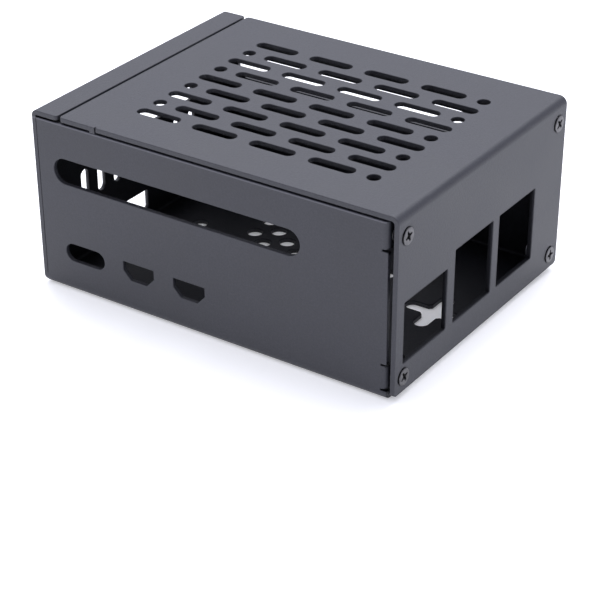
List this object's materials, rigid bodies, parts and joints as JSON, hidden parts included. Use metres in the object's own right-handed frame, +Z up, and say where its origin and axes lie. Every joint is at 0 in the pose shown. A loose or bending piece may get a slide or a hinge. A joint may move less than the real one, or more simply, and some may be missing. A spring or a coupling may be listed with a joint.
{
  "type": "single board computer enclosure",
  "caption": "Folded sheet-metal case with a slotted lift-off cover, windows for the sockets and a vented floor, closed by countersunk screws.",
  "frame": {"origin": "middle of the underside, on the plane that the case stands on", "axes": "+X towards the end plate with the network and USB windows, +Y towards the side with the recessed upper edge, +Z up"},
  "size_m": [0.092, 0.0682, 0.0417],
  "materials": {
    "powder_coat": "fine-textured satin powder coat, bluish dark grey",
    "black_steel": "black oxide on steel",
    "plated_steel": "zinc-plated steel"
  },
  "bodies": {
    "tray": {"base_tray": "powder_coat", "nut_upper_left": "plated_steel", "nut_upper_right": "plated_steel", "nut_lower_left": "plated_steel", "nut_lower_right": "plated_steel"},
    "cover": {"top_cover": "powder_coat"},
    "upper_left_screw": {"screw_upper_left": "black_steel"},
    "upper_right_screw": {"screw_upper_right": "black_steel"},
    "lower_left_screw": {"screw_lower_left": "black_steel"},
    "lower_right_screw": {"screw_lower_right": "black_steel"}
  },
  "joints": [
    {"name": "cover_slide", "type": "slide", "parent": "tray", "child": "cover", "axis": [1, 0, 0], "range_m": [0, 0.09]},
    {"name": "upper_left_screw_out", "type": "slide", "parent": "cover", "child": "upper_left_screw", "axis": [1, 0, 0], "range_m": [0, 0.007]},
    {"name": "upper_right_screw_out", "type": "slide", "parent": "cover", "child": "upper_right_screw", "axis": [1, 0, 0], "range_m": [0, 0.007]},
    {"name": "lower_left_screw_out", "type": "slide", "parent": "cover", "child": "lower_left_screw", "axis": [1, 0, 0], "range_m": [0, 0.007]},
    {"name": "lower_right_screw_out", "type": "slide", "parent": "cover", "child": "lower_right_screw", "axis": [1, 0, 0], "range_m": [0, 0.007]}
  ]
}
